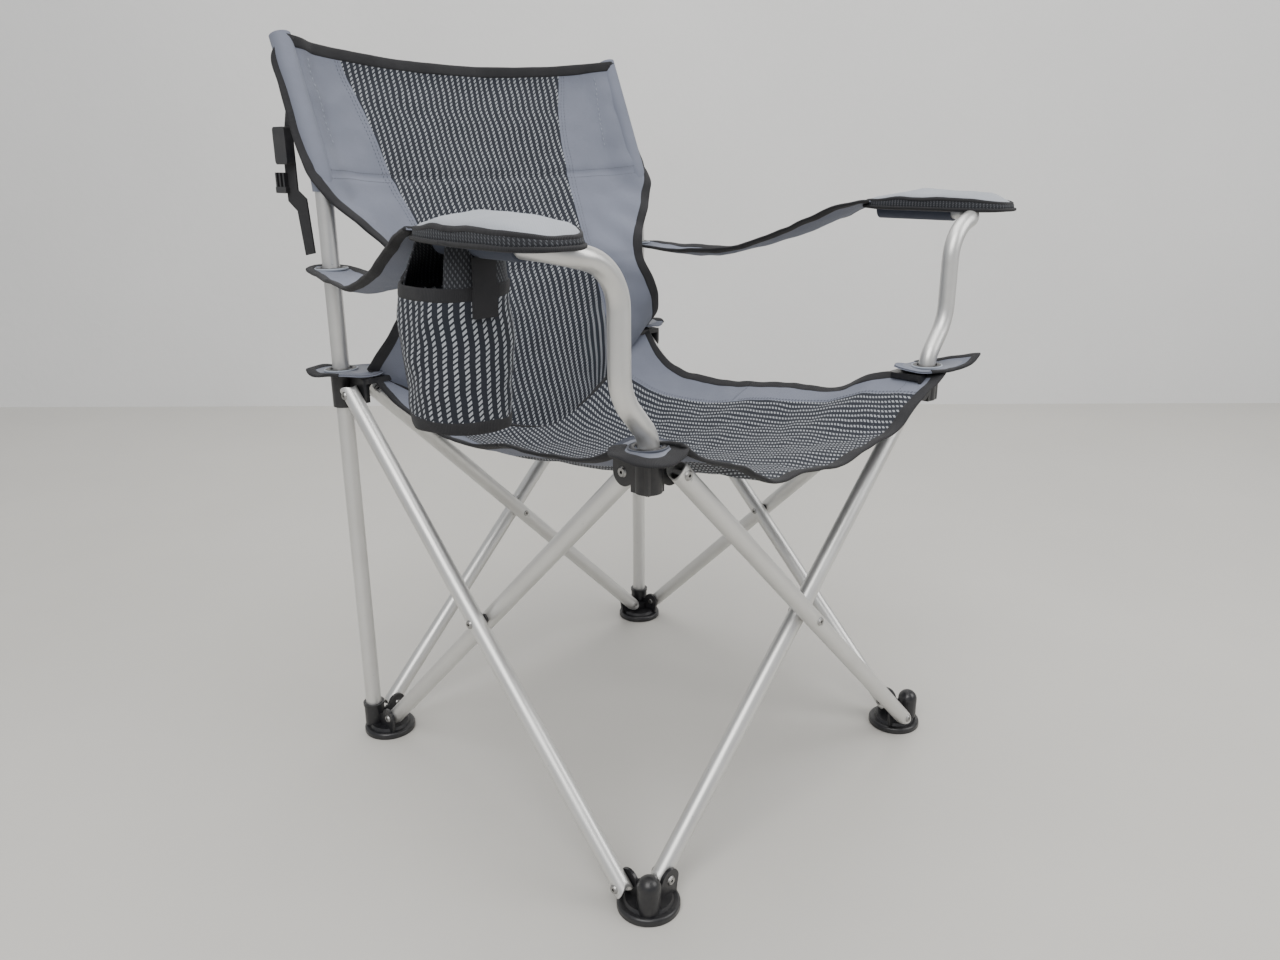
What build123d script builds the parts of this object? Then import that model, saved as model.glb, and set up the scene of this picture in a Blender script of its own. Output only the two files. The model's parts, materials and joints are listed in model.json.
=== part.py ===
from build123d import *
from math import acos, cos, degrees, hypot, radians, sin, tan
import os

# Folding camp chair with a four-sided scissor frame. Millimetres, +Z up, the sitter faces -Y and the
# sitter's right is -X. Everything is drawn about the middle of the four feet, and export() moves it so
# that the origin is under the middle of the whole chair.

# ---------------------------------------------------------------- driving dimensions
TUBE_D = 22.0            # every tube of the frame
TUBE_WALL = 1.5
CORNER_PITCH = 534.0     # from one foot's centre to the next, across and front to back
RIVET_GAP = 10.0         # from a foot's centre to the rounded ends of its crossing tubes
FOOT_RIVET_Z = 29.0
HUB_RIVET_Z = 516.0

RIVET_R = 3.0
RIVET_HEAD_R = 5.6
RIVET_HEAD_H = 1.9
RIVET_BORE_R = 1.7
FLAT_DEPTH = 0.6         # a tube is pressed flat by this much under a rivet head or a washer
FLAT_LENGTH = 15.0
WASHER_R = 6.5
WASHER_T = 1.5
PIVOT_PLAY = 0.05        # radial, and under a moving head or washer
SIDE_PLAY = 0.1          # between a tube and the plastic ear beside it
EAR_T = 4.0
EAR_RIM = 11.0           # of an ear round its rivet's hole

FOOT_R = 36.5
FOOT_PLATE_H = 9.0
FOOT_BODY_TOP = 26.0
TIER_GAP = 0.44          # between a foot's tier and the lowest corner of a tube's end
DOME_R = 13.5
DOME_H = 44.0            # of the dome above the plate
SOCKET_WALL = 3.2
SOCKET_H = 35.0          # of the socket above the plate
UPRIGHT_GAP = 4.0        # from a foot's centre lines to the upright beside them
DOME_OFFSET = 13.0

HUB_BELOW = 18.0         # of a hub below its rivets
HUB_CAP_GAP = 2.0        # between the tubes and the cap over them
HUB_CAP_T = 7.0
HUB_REACH = 34.0
COLLAR_WALL = 3.6
COLLAR_PLAY = 0.3
POST_SEAT_DEPTH = 34.0
POST_CLEAR = 1.5         # between a front post and the ends of the tubes beside it
HUB_WALL = 3.0

UPRIGHT_STRAIGHT = 226.0  # of an upright above its open hub
UPRIGHT_BEND_R = 90.0
UPRIGHT_LEAN_DEG = 22.0
UPRIGHT_TOP_LENGTH = 161.0
PLUG_H = 9.0
PLUG_DEPTH = 14.0
POCKET_GAP = 8.0         # from the upright's bend to the bottom of the pocket

POST_KNEE = 18.0         # above its hub the front post leans out here ...
POST_SHOULDER = 64.0     # ... and stands up again here
POST_OUT = 41.0          # how far it then stands outside the hub's centre
POST_RISE = 181.4
POST_RUN = (0.966, 0.259)  # outward and upward parts of the short run at the top
POST_RUN_LENGTH = 78.5
POST_RADII = (30.0, 60.0, 50.0, 39.5)

PAD_INNER, PAD_OUTER = 44.0, 134.0            # from the post, at the pad's front
PAD_REAR_INNER, PAD_REAR_OUTER = 35.0, 116.0  # and at its back
PAD_LENGTH = 200.0
PAD_OVERHANG = 33.0      # of the pad in front of the hub's centre
PAD_RISE = 201.0
PAD_T = 25.0
POST_SHORT = 18.0        # of the pad's back end
TUNNEL_WALL = 2.5

CLOTH_T = 2.5
CLOTH_GAP = 0.8          # kept between cloth and the parts of other bodies
STRAP_EYELET_RISE = 137.0
STRAP_REAR_HALF = 30.0
EYELET_T = 3.0
EYELET_RIM = 6.0
CORNER_REACH = 42.0      # of a seat corner patch beyond the hub's centre, outward
CORNER_INWARD = 38.0
PATCH_GAP = 4.5
PATCH_T = 3.0

CUP_FROM_POST = 70.0     # of the cup holder's middle outside the post ...
CUP_FROM_FRONT = 183.0   # ... and behind the pad's front end
CUP_LENGTH, CUP_WIDTH, CUP_H = 114.0, 94.0, 137.0
CUP_DROP = 40.0          # of the bag's mouth below the pad
CUP_WALL = 3.0
TAB_W = 26.0

WEBBING_T = 2.0
STRAP_INSIDE = 16.0      # of the carry strap outside the corner's centre
STRAP_BACK = 91.0
STRAP_OUTLINE = (        # of the carry strap, back from its middle and up from the upright's bend
    (-40, 110), (-6, 110), (14, 58), (14, -6), (-8, -18),
    (-18, -74), (-42, -70), (-34, -2), (-14, 8), (-14, 68),
)
BUCKLE_T = 11.0
PRONG_BACK = 34.0        # of the buckle's far edge behind the strap's middle

# The seat at stations from back to front: its edge's share of the way forward, the edge's height and the
# middle's height from the hub's top, and how far the middle is behind the edge.
SEAT_REAR_STATIONS = ((0.56, -58, -120, -5), (0.0, -58, -113, 0))
SEAT_FRONT_STATIONS = ((-0.524, -38, -98, 0),)
SEAT_EDGE_IN = 25.0      # of the seat's side edges inside the tubes
SEAT_SEAM_DROP = 108.0
# The back below its pockets, from the top: edge in from the upright, back from the hub, and up from the hub,
# then how far the middle is behind and below the edge.
BACK_STATIONS = (
    (50, -35, 169, 36, 15),
    (65, -60, 124, 39, 28),
    (48, -67, 84, 32, 48),
    (30, -63, 49, 18, 80),
    (50, -37, 7, -16, 110),
)

# ---------------------------------------------------------------- worked-out sizes
TUBE_R = TUBE_D / 2
CORNER = CORNER_PITCH / 2
RIVET_INSET = TUBE_R + RIVET_GAP
RIVET_SPAN = CORNER_PITCH - 2 * RIVET_INSET
RIVET_RISE = HUB_RIVET_Z - FOOT_RIVET_Z
TUBE_PITCH = hypot(RIVET_SPAN, RIVET_RISE)
OPEN_ANGLE = degrees(acos(RIVET_SPAN / TUBE_PITCH))
OUTER_OFFSET = TUBE_D + WASHER_T + SIDE_PLAY   # an outer tube lies this far outside an inner one
FLAT_R = TUBE_R - FLAT_DEPTH
EAR_R = RIVET_R + EAR_RIM
EAR_NEAR = TUBE_R + SIDE_PLAY
EAR_FAR = EAR_NEAR + EAR_T
TUBE_CLEAR = RIVET_INSET - TUBE_R              # the tube ends reach this close to the corner's centre
TIER_TOP = FOOT_RIVET_Z - hypot(TUBE_R, TUBE_R) - TIER_GAP
SOCKET_FLOOR = FOOT_PLATE_H + 1
SOCKET_TOP = FOOT_PLATE_H + SOCKET_H
DOME_TOP = FOOT_PLATE_H + DOME_H
UPRIGHT_OFFSET = TUBE_R + UPRIGHT_GAP
UPRIGHT_PLACE = CORNER + UPRIGHT_OFFSET
HUB_BOTTOM = HUB_RIVET_Z - HUB_BELOW
HUB_TOP = HUB_RIVET_Z + TUBE_R + HUB_CAP_GAP + HUB_CAP_T
POST_OFFSET = TUBE_R + POST_CLEAR - RIVET_GAP    # of a post's foot from its hub's centre, both ways
UPRIGHT_BEND_Z = HUB_TOP + UPRIGHT_STRAIGHT
POCKET_BOTTOM_Z = UPRIGHT_BEND_Z + POCKET_GAP
POST_PLACE = CORNER + POST_OFFSET
POST_OUT_X = CORNER + POST_OUT
PAD_BOTTOM_Z = HUB_TOP + PAD_RISE
PAD_FRONT_Y = -CORNER - PAD_OVERHANG
PAD_REAR_Y = PAD_FRONT_Y + PAD_LENGTH
STRAP_EYELET_Z = HUB_TOP + STRAP_EYELET_RISE
PATCH_Z = HUB_TOP + PATCH_GAP
CUP_X = POST_OUT_X + CUP_FROM_POST
CUP_Y = PAD_FRONT_Y + CUP_FROM_FRONT
CUP_TOP_Z = PAD_BOTTOM_Z - CUP_DROP
CUP_BOTTOM_Z = CUP_TOP_Z - CUP_H
STRAP_X = -CORNER - STRAP_INSIDE
STRAP_Y = CORNER + STRAP_BACK
SEAT_CORNER_X = CORNER - CORNER_INWARD - CLOTH_GAP
FRAME_SHIFT_Y = (CORNER + CORNER_REACH - STRAP_Y - PRONG_BACK) / 2  # centres the whole chair on the origin

# Going round the feet, each corner is the one before it turned a quarter.
CORNERS = {
    "front_right": (-1, -1, 0),
    "front_left": (1, -1, 90),
    "rear_left": (1, 1, 180),
    "rear_right": (-1, 1, 270),
}
SIDES = {"front": "front_right", "left": "front_left", "rear": "rear_left", "right": "rear_right"}

def at_corner(corner, part):
    """Put a part drawn for the front right corner, inside towards +X and +Y, at another corner."""
    side_x, side_y, turn = CORNERS[corner]
    return Pos(side_x * CORNER, side_y * CORNER, 0) * Rot(0, 0, turn) * part

def span(x0, x1, y0, y1, z0, z1):
    """A box between two corners."""
    middle = Pos((x0 + x1) / 2, (y0 + y1) / 2, (z0 + z1) / 2)
    return middle * Box(x1 - x0, y1 - y0, z1 - z0)

def rod(radius, z0, z1, x=0.0, y=0.0):
    """An upright cylinder between two heights."""
    return Pos(x, y, (z0 + z1) / 2) * Cylinder(radius, z1 - z0)

def along_x(part):
    """Turn what is drawn along +Z to lie along +X."""
    return Rot(0, 90, 0) * part

def along_y(part):
    """Turn what is drawn along +Z to lie along +Y."""
    return Rot(-90, 0, 0) * part

def plate_x(face, x0, x1):
    """A plate across X. The face's own X and Y are the part's Y and Z."""
    return Plane((x0, 0, 0), x_dir=(0, 1, 0), z_dir=(1, 0, 0)) * extrude(face, x1 - x0)

def plate_y(face, y0, y1):
    """A plate across Y. The face's own X and Y are the part's X and Z."""
    return Plane((0, y1, 0), x_dir=(1, 0, 0), z_dir=(0, -1, 0)) * extrude(face, y1 - y0)

def pipe(corners, radii, radius):
    """A round bar along straight runs joined by bends."""
    path = FilletPolyline(*corners, radius=list(radii))
    start = Plane(origin=path @ 0, z_dir=path % 0)
    return sweep(start * Circle(radius), path=path)

# ---------------------------------------------------------------- rivets and washers
def rivet(outer_face, inner_face):
    """A rivet along +Z. Its domed head is below outer_face and its formed head above inner_face."""
    dome = Pos(0, 0, outer_face) * Rot(180, 0, 0) * extrude(Circle(RIVET_HEAD_R), RIVET_HEAD_H, taper=32)
    formed = Pos(0, 0, inner_face) * extrude(Circle(RIVET_HEAD_R - 1), RIVET_HEAD_H - 0.5, taper=30)
    shank = rod(RIVET_R, outer_face, inner_face)
    bore = rod(RIVET_BORE_R, outer_face - RIVET_HEAD_H, inner_face + RIVET_HEAD_H)
    return dome + shank + formed - bore

def corner_rivets(height, hub):
    """A corner's two rivets: one through the outer tube and its ear, one through the inner tube's."""
    outer = rivet(-OUTER_OFFSET - FLAT_R - PIVOT_PLAY, -OUTER_OFFSET + EAR_FAR)
    inner = rivet(-EAR_FAR, FLAT_R + PIVOT_PLAY)
    if hub:
        through_y, through_x = outer, inner
    else:
        through_y, through_x = inner, outer
    return [
        Pos(RIVET_INSET, 0, height) * along_y(through_y),
        Pos(0, RIVET_INSET, height) * along_x(through_x),
    ]

# ---------------------------------------------------------------- crossing tubes
def cross_tube(flat_sides, hole_radii):
    """A tube along +X from one end rivet at 0 to the other, with its outside towards -Y.

    flat_sides says which sides are pressed flat at each rivet, -1 for outside and 1 for inside.
    """
    length = TUBE_PITCH + TUBE_D
    bar = Pos(TUBE_PITCH / 2, 0, 0) * along_x(Cylinder(TUBE_R, length))
    bore = Pos(TUBE_PITCH / 2, 0, 0) * along_x(Cylinder(TUBE_R - TUBE_WALL, length + 2))
    envelope = span(0, TUBE_PITCH, -TUBE_D, TUBE_D, -TUBE_D, TUBE_D)
    for x in (0, TUBE_PITCH):
        envelope += Pos(x, 0, 0) * along_y(Cylinder(TUBE_R, 2 * TUBE_D))
    tube = (bar - bore) & envelope
    for x, sides, hole in zip((0, TUBE_PITCH / 2, TUBE_PITCH), flat_sides, hole_radii):
        tube -= Pos(x, 0, 0) * along_y(Cylinder(hole, 2 * TUBE_D))
        for side in sides:
            near, far = sorted((side * FLAT_R, side * TUBE_D))
            tube -= span(x - FLAT_LENGTH / 2, x + FLAT_LENGTH / 2, near, far, -TUBE_D, TUBE_D)
    return tube

def side_of_frame(corner):
    """The two tubes, rivet and washer of the side that starts at a corner, as a dictionary."""
    loose = RIVET_R + PIVOT_PLAY
    outer = cross_tube(((-1,), (-1, 1), (-1,)), (loose, loose, loose))
    inner = cross_tube(((1,), (-1, 1), (1,)), (loose, RIVET_R, loose))
    middle = Pos(CORNER, 0, (FOOT_RIVET_Z + HUB_RIVET_Z) / 2)
    washer = rod(WASHER_R, -OUTER_OFFSET + FLAT_R + PIVOT_PLAY, -FLAT_R)
    washer -= rod(RIVET_R, -OUTER_OFFSET, 0)
    pieces = {
        "outer_tube": Pos(RIVET_INSET, -OUTER_OFFSET, HUB_RIVET_Z) * Rot(0, OPEN_ANGLE, 0) * outer,
        "inner_tube": Pos(RIVET_INSET, 0, FOOT_RIVET_Z) * Rot(0, -OPEN_ANGLE, 0) * inner,
        "crossing_rivet": middle * along_y(rivet(-OUTER_OFFSET - FLAT_R - PIVOT_PLAY, FLAT_R)),
        "crossing_washer": middle * along_y(washer),
    }
    return {name: at_corner(corner, piece) for name, piece in pieces.items()}

# ---------------------------------------------------------------- feet
def foot_ear_face():
    """The outline of a foot's ear: it rises from the plate and is round above its rivet."""
    near, far = RIVET_INSET - EAR_R, RIVET_INSET + EAR_R - 1
    low, high = FOOT_PLATE_H - 4, FOOT_RIVET_Z + EAR_R
    back = -EAR_FAR + 1
    outline = Polyline((back, FOOT_BODY_TOP - 3), (back, low), (far - 4, low), (far, FOOT_RIVET_Z))
    outline += ThreePointArc((far, FOOT_RIVET_Z), (RIVET_INSET, high), (near, FOOT_RIVET_Z + 3))
    outline += Line((near, FOOT_RIVET_Z + 3), (back, FOOT_BODY_TOP - 3))
    return make_face(outline)

def foot_holes():
    """The holes of a foot's two rivets."""
    through_y = Pos(RIVET_INSET, 0, FOOT_RIVET_Z) * along_y(Cylinder(RIVET_R, 4 * TUBE_D))
    through_x = Pos(0, RIVET_INSET, FOOT_RIVET_Z) * along_x(Cylinder(RIVET_R, 4 * TUBE_D))
    return through_y + through_x

def foot_base():
    """A foot without its dome or socket: a round plate, two ears and the block between them."""
    plate = Pos(0, 0, FOOT_PLATE_H / 2) * Cylinder(FOOT_R, FOOT_PLATE_H)
    rims = plate.edges().filter_by(GeomType.CIRCLE).sort_by(Axis.Z)
    plate = fillet(rims[-1], 3.5)
    plate = fillet(plate.edges().filter_by(GeomType.CIRCLE).sort_by(Axis.Z)[0], 1.2)
    tier = Pos(0, 0, FOOT_PLATE_H - 1) * extrude(Circle(FOOT_R - 7), TIER_TOP - FOOT_PLATE_H + 1, taper=25)
    face = foot_ear_face()
    outer_ear = plate_x(face, -OUTER_OFFSET + EAR_NEAR, -OUTER_OFFSET + EAR_FAR)
    inner_ear = plate_y(face, -EAR_FAR, -EAR_NEAR)
    near = TUBE_CLEAR - 2
    block = span(-OUTER_OFFSET + EAR_NEAR, near, -EAR_FAR, near, 5, FOOT_BODY_TOP - 4)
    return plate + tier + block + outer_ear + inner_ear

def front_foot():
    """A front foot, whose outer corner is closed by a dome."""
    dome = rod(DOME_R, 4, DOME_TOP - DOME_R, -DOME_OFFSET, -DOME_OFFSET)
    dome += Pos(-DOME_OFFSET, -DOME_OFFSET, DOME_TOP - DOME_R) * Sphere(DOME_R)
    return foot_base() + dome - foot_holes()

def rear_foot():
    """A rear foot, with a socket for its upright on the outer corner."""
    place = (-UPRIGHT_OFFSET, -UPRIGHT_OFFSET)
    socket = rod(TUBE_R + SOCKET_WALL, 4, SOCKET_TOP, *place)
    socket += rod(TUBE_R + SOCKET_WALL + 1, SOCKET_TOP - 4, SOCKET_TOP, *place)
    bore = rod(TUBE_R, SOCKET_FLOOR, SOCKET_TOP + 1, *place)
    return foot_base() + socket - bore - foot_holes()

# ---------------------------------------------------------------- hubs
def hub_ear_face():
    """The outline of a hub's ear: it hangs from the cap and is round below its rivet."""
    near, far = RIVET_INSET - EAR_R, RIVET_INSET + EAR_R - 1
    back = -EAR_FAR + 1
    outline = Polyline((near, HUB_RIVET_Z - 5), (back, HUB_BOTTOM), (back, HUB_TOP - 1), (far, HUB_TOP - 1))
    outline += Line((far, HUB_TOP - 1), (far, HUB_RIVET_Z))
    low = HUB_RIVET_Z - EAR_R
    outline += ThreePointArc((far, HUB_RIVET_Z), (RIVET_INSET + 3, low), (near, HUB_RIVET_Z - 5))
    return make_face(outline)

def hub_base():
    """A hub without its bore: a cap over the tube ends, a block and two ears."""
    face = hub_ear_face()
    inner_ear = plate_x(face, -EAR_FAR, -EAR_NEAR)
    outer_ear = plate_y(face, -OUTER_OFFSET + EAR_NEAR, -OUTER_OFFSET + EAR_FAR)
    near = TUBE_CLEAR - 0.4
    block = span(-EAR_FAR, near, -OUTER_OFFSET + EAR_NEAR, near, HUB_BOTTOM, HUB_TOP)
    reach = -OUTER_OFFSET + EAR_NEAR
    cap = span(-EAR_FAR, HUB_REACH, reach, HUB_REACH, HUB_TOP - HUB_CAP_T, HUB_TOP)
    corners = cap.edges().filter_by(Axis.Z).sort_by(Axis.X)[2:]
    return block + inner_ear + outer_ear + fillet(corners, 9)

def hub_holes():
    """The holes of a hub's two rivets."""
    through_y = Pos(RIVET_INSET, 0, HUB_RIVET_Z) * along_y(Cylinder(RIVET_R, 4 * TUBE_D))
    through_x = Pos(0, RIVET_INSET, HUB_RIVET_Z) * along_x(Cylinder(RIVET_R, 4 * TUBE_D))
    return through_y + through_x

def front_hub():
    """A front hub, which holds the arm post."""
    place = (-POST_OFFSET, -POST_OFFSET)
    bottom = HUB_TOP - POST_SEAT_DEPTH
    boss = rod(TUBE_R + HUB_WALL, HUB_BOTTOM, HUB_TOP, *place)
    swing = span(TUBE_CLEAR - 0.4, 60, -60, 60, 0, HUB_TOP - HUB_CAP_T)
    swing += span(-60, 60, TUBE_CLEAR - 0.4, 60, 0, HUB_TOP - HUB_CAP_T)
    bore = rod(TUBE_R, bottom, HUB_TOP + 1, *place)
    return hub_base() + (boss - swing) - bore - hub_holes()

def rear_hub():
    """A rear hub, whose collar slides on the upright."""
    place = (-UPRIGHT_OFFSET, -UPRIGHT_OFFSET)
    collar = rod(TUBE_R + COLLAR_WALL, HUB_BOTTOM - 4, HUB_TOP, *place)
    bore = rod(TUBE_R + COLLAR_PLAY, HUB_BOTTOM - 5, HUB_TOP + 1, *place)
    return hub_base() + collar - bore - hub_holes()

# ---------------------------------------------------------------- uprights and posts
def upright_path():
    """The corner points of an upright in its own plane, as (back, up), and the bend's radius."""
    tangent = UPRIGHT_BEND_R * tan(radians(UPRIGHT_LEAN_DEG / 2))
    knee = UPRIGHT_BEND_Z + tangent
    lean = radians(UPRIGHT_LEAN_DEG)
    reach = tangent + UPRIGHT_TOP_LENGTH
    return (0, SOCKET_FLOOR), (0, knee), (reach * sin(lean), knee + reach * cos(lean))

def upright_axis(side):
    """The same points in the chair, for the sitter's left (1) or right (-1)."""
    return [(side * UPRIGHT_PLACE, UPRIGHT_PLACE + back, up) for back, up in upright_path()]

def upright_top(side, offset, length, radius):
    """A round bar in line with the upright's leaning end, from offset past that end."""
    lean = radians(UPRIGHT_LEAN_DEG)
    x, y, z = upright_axis(side)[-1]
    start = (x, y + offset * sin(lean), z + offset * cos(lean))
    return Plane(start, z_dir=(0, sin(lean), cos(lean))) * extrude(Circle(radius), length)

def upright(side):
    """A rear upright, straight to above the arm and then leaning back."""
    corners = upright_axis(side)
    bar = pipe(corners, [UPRIGHT_BEND_R], TUBE_R)
    return bar - pipe(corners, [UPRIGHT_BEND_R], TUBE_R - TUBE_WALL)

def upright_plug(side):
    """The plastic plug in the top of an upright."""
    plug = upright_top(side, 0, PLUG_H, TUBE_R)
    plug = fillet(plug.edges().filter_by(GeomType.CIRCLE).sort_by(Axis.Z)[-1], 5)
    return plug + upright_top(side, -PLUG_DEPTH, PLUG_DEPTH, TUBE_R - TUBE_WALL)

def back_pocket(side):
    """The sewn sleeve at the side of the back, closed at its top, which slips over the upright."""
    corners = upright_axis(side)
    sleeve = pipe(corners, [UPRIGHT_BEND_R], TUBE_R + CLOTH_T)
    sleeve += upright_top(side, 0, PLUG_H + CLOTH_T, TUBE_R + CLOTH_T)
    inside = pipe(corners, [UPRIGHT_BEND_R], TUBE_R) + upright_top(side, 0, PLUG_H, TUBE_R)
    return sleeve - inside - span(-500, 500, -500, 500, 0, POCKET_BOTTOM_Z)

def post_corners(side):
    """The corner points of an arm post, from the bottom of its seat in the hub to its free end."""
    place = POST_PLACE
    out, up = POST_RUN
    bend_z = HUB_TOP + POST_RISE
    top_x, top_z = POST_OUT_X + out * POST_RUN_LENGTH, bend_z + up * POST_RUN_LENGTH
    points = [
        (place, -place, HUB_TOP - POST_SEAT_DEPTH),
        (place, -place, HUB_TOP + POST_KNEE),
        (POST_OUT_X, -place, HUB_TOP + POST_SHOULDER),
        (POST_OUT_X, -place, bend_z),
        (top_x, -place, top_z),
        (top_x, PAD_REAR_Y - POST_SHORT, top_z),
    ]
    return [(side * x, y, z) for x, y, z in points]

def arm_post(side):
    """A front post: it leans out, stands up, and turns back under the arm pad."""
    corners = post_corners(side)
    return pipe(corners, POST_RADII, TUBE_R) - pipe(corners, POST_RADII, TUBE_R - TUBE_WALL)

# ---------------------------------------------------------------- arms
def tunnel_bar(side, radius, closed):
    """A round bar along the post's last run, for the tunnel under the pad."""
    x, _, z = post_corners(side)[-1]
    y0 = post_corners(side)[-2][1] + POST_RADII[-1]
    y1 = PAD_REAR_Y - POST_SHORT + (TUNNEL_WALL if closed else 0)
    return Pos(x, (y0 + y1) / 2, z) * along_y(Cylinder(radius, y1 - y0))

def arm_tunnel(side):
    """The cloth tunnel sewn under the pad, which the post's end fills."""
    return tunnel_bar(side, TUBE_R + TUNNEL_WALL, True) - tunnel_bar(side, TUBE_R, False)

def arm_pad(side):
    """The padded arm top, which lies over the post's end and the tunnel."""
    outline = Polyline(
        (POST_OUT_X + PAD_INNER, PAD_FRONT_Y),
        (POST_OUT_X + PAD_OUTER, PAD_FRONT_Y),
        (POST_OUT_X + PAD_REAR_OUTER, PAD_REAR_Y),
        (POST_OUT_X + PAD_REAR_INNER, PAD_REAR_Y),
        (POST_OUT_X + PAD_INNER, PAD_FRONT_Y),
    )
    face = fillet(make_face(outline).vertices(), 18)
    pad = Pos(0, 0, PAD_BOTTOM_Z) * extrude(face, PAD_T)
    pad = fillet(pad.faces().sort_by(Axis.Z)[-1].edges(), 9)
    if side < 0:
        pad = mirror(pad, about=Plane.YZ)
    return pad - pipe(post_corners(side), POST_RADII, TUBE_R) - tunnel_bar(side, TUBE_R + TUNNEL_WALL, True)

def ribbon(stations, half_widths, thickness, centres):
    """A strip of cloth through (y, z) stations, with its half width and centre X at each."""
    sections = []
    for (y, z), half, x in zip(stations, half_widths, centres):
        top = z + thickness
        corners = [(x - half, y, z), (x + half, y, z), (x + half, y, top), (x - half, y, top)]
        sections.append(make_face(Polyline(*corners, corners[0])))
    return loft(sections, ruled=True)

def arm_strap(side):
    """The cloth strip from the back of the pad down to the ring around the upright."""
    pad_x = POST_OUT_X + (PAD_REAR_INNER + PAD_REAR_OUTER) / 2
    start_y, start_z = PAD_REAR_Y + CLOTH_GAP, PAD_BOTTOM_Z + 8
    drops = ((0.0, 0), (0.18, 22), (0.4, 60), (0.6, 86), (0.8, 84), (0.93, start_z - STRAP_EYELET_Z))
    end_y = UPRIGHT_PLACE + STRAP_REAR_HALF
    stations = [(start_y + share * (end_y - start_y), start_z - drop) for share, drop in drops]
    stations.append((end_y, STRAP_EYELET_Z + 2))
    shares = [share for share, _ in drops] + [1.0]
    halves = [36 - 8 * share for share in shares]
    slope = (pad_x - UPRIGHT_PLACE) / (UPRIGHT_PLACE - start_y)
    centres = [side * (pad_x - slope * (y - start_y)) for y, _ in stations]
    strap = ribbon(stations, halves, CLOTH_T, centres)
    hole = rod(TUBE_R + EYELET_RIM + 1, HUB_TOP, UPRIGHT_BEND_Z, side * UPRIGHT_PLACE, UPRIGHT_PLACE)
    return strap - hole

def ring(x, y, z, inner, rim, height):
    """A flat ring around a tube."""
    return rod(inner + rim, z, z + height, x, y) - rod(inner, z - 1, z + height + 1, x, y)

def arm_eyelet(side):
    """The ring in the back of the arm strap, around the upright."""
    x, y = side * UPRIGHT_PLACE, UPRIGHT_PLACE
    return ring(x, y, STRAP_EYELET_Z - 1, TUBE_R + CLOTH_GAP, EYELET_RIM, EYELET_T + 2)

# ---------------------------------------------------------------- seat corners
def post_place(front):
    """How far a corner's post or upright stands outside the corner's centre."""
    return POST_OFFSET if front else UPRIGHT_OFFSET

def seat_corner(front):
    """The reinforced corner of the seat that lies on a hub, with its eyelet ring around the post."""
    offset = post_place(front)
    patch = span(-CORNER_REACH, CORNER_INWARD, -CORNER_REACH, CORNER_INWARD, PATCH_Z, PATCH_Z + PATCH_T)
    patch = fillet(patch.edges().filter_by(Axis.Z), 16)
    hole = rod(TUBE_R + CLOTH_GAP, HUB_BOTTOM, HUB_TOP + 50, -offset, -offset)
    eyelet = rod(TUBE_R + CLOTH_GAP + EYELET_RIM, PATCH_Z, PATCH_Z + PATCH_T + EYELET_T, -offset, -offset)
    return patch + eyelet - hole

# ---------------------------------------------------------------- cloth
def hammock(stations, thickness):
    """A hanging cloth through stations of (edge half width, edge (y, z), middle (y, z))."""
    sections = []
    for half, (edge_y, edge_z), (mid_y, mid_z) in stations:
        depth = hypot(mid_y - edge_y, mid_z - edge_z)
        step_y = (mid_y - edge_y) / depth * thickness
        step_z = (mid_z - edge_z) / depth * thickness
        left, right = (-half, edge_y, edge_z), (half, edge_y, edge_z)
        left_low = (-half, edge_y + step_y, edge_z + step_z)
        right_low = (half, edge_y + step_y, edge_z + step_z)
        outline = ThreePointArc(left, (0, mid_y, mid_z), right) + Line(right, right_low)
        outline += ThreePointArc(right_low, (0, mid_y + step_y, mid_z + step_z), left_low)
        outline += Line(left_low, left)
        sections.append(make_face(outline))
    return loft(sections, ruled=True)

def seat_station(share, edge_up, middle_up, behind):
    """A seat station between the tubes, at a share of the way from the middle to a hub."""
    y = share * CORNER
    return CORNER - SEAT_EDGE_IN, (y, HUB_TOP + edge_up), (y + behind, HUB_TOP + middle_up)

def seat_rear():
    """The back half of the seat, from the seam with the back to the fold line."""
    seam_y = CORNER - CORNER_INWARD - 1
    seam = (SEAT_CORNER_X, (seam_y, HUB_TOP + 2), (seam_y - 16, HUB_TOP - SEAT_SEAM_DROP))
    return hammock([seam] + [seat_station(*values) for values in SEAT_REAR_STATIONS], CLOTH_T)

def seat_front():
    """The front half of the seat, from the fold line to the front edge."""
    half, (edge_y, edge_z), (mid_y, mid_z) = seat_station(*SEAT_REAR_STATIONS[-1])
    fold = (half, (edge_y - CLOTH_GAP, edge_z), (mid_y - CLOTH_GAP, mid_z))
    corner_y = -CORNER + CORNER_INWARD + 1
    corner = (SEAT_CORNER_X, (corner_y, HUB_TOP + 2), (corner_y - 4, HUB_TOP - 76))
    front_y = -CORNER - CORNER_REACH
    edge = (SEAT_CORNER_X - 4, (front_y, HUB_TOP + 10), (front_y + 4, HUB_TOP - 60))
    middle = [seat_station(*values) for values in SEAT_FRONT_STATIONS]
    return hammock([fold] + middle + [corner, edge], CLOTH_T)

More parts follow.
